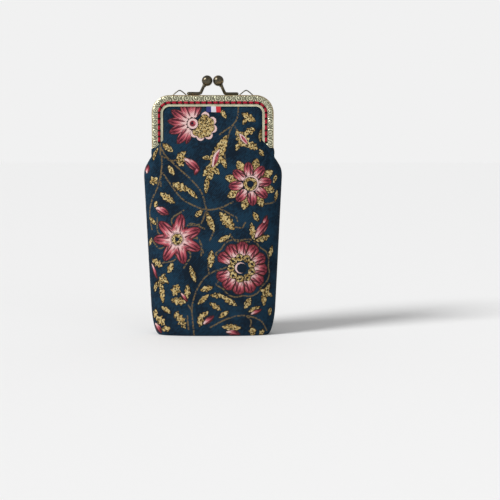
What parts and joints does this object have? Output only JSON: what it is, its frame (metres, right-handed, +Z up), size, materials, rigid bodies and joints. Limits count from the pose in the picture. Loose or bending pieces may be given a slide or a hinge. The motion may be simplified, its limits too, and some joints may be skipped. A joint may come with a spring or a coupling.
{
  "type": "soft glasses case with kiss-lock frame",
  "caption": "Padded fabric pouch for glasses, standing on a boxed base, with a sewn metal kiss-lock frame whose two halves swing open.",
  "frame": {"origin": "middle of the flat base that the case stands on", "axes": "+X across the case, +Y from the front to the rear, +Z up towards the clasp"},
  "size_m": [0.0964, 0.0328, 0.1819],
  "materials": {
    "outer_cloth": "printed navy cotton twill with red and gold flowers",
    "padding": "off-white needled wadding",
    "lining": "plain dark navy lining",
    "frame": "antique silver-bronze, embossed",
    "clasp": "dark polished bronze",
    "rivets": "dark polished bronze",
    "loops": "grey bright wire",
    "thread": "crimson twisted thread",
    "ribbon": "woven ribbon with blue, white and red stripes"
  },
  "bodies": {
    "pouch": {"front_outer_panel": "outer_cloth", "front_padding": "padding", "front_lining": "lining", "rear_outer_panel": "outer_cloth", "rear_padding": "padding", "rear_lining": "lining", "outer_seam": "outer_cloth", "lining_seam": "lining", "left_hinge_rivet": "rivets", "right_hinge_rivet": "rivets"},
    "front_half": {"front_frame": "frame", "front_clasp_stem": "clasp", "front_clasp_ball": "clasp", "front_frame_stitching": "thread", "front_mouth_panel": "outer_cloth", "front_mouth_padding": "padding", "front_mouth_lining": "lining", "ribbon_label": "ribbon"},
    "rear_half": {"rear_frame": "frame", "rear_clasp_stem": "clasp", "rear_clasp_ball": "clasp", "rear_frame_stitching": "thread", "rear_mouth_panel": "outer_cloth", "rear_mouth_padding": "padding", "rear_mouth_lining": "lining", "left_chain_loop": "loops", "right_chain_loop": "loops"}
  },
  "joints": [
    {"name": "front_hinge", "type": "hinge", "parent": "pouch", "child": "front_half", "pos_m": [0, 0, 0.128], "axis": [1, 0, 0], "range_deg": [0, 40]},
    {"name": "rear_hinge", "type": "hinge", "parent": "pouch", "child": "rear_half", "pos_m": [0, 0, 0.128], "axis": [1, 0, 0], "range_deg": [-40, 0]}
  ],
  "couplings": [
    {"joint": "rear_hinge", "follows": "front_hinge", "ratio": -1}
  ]
}
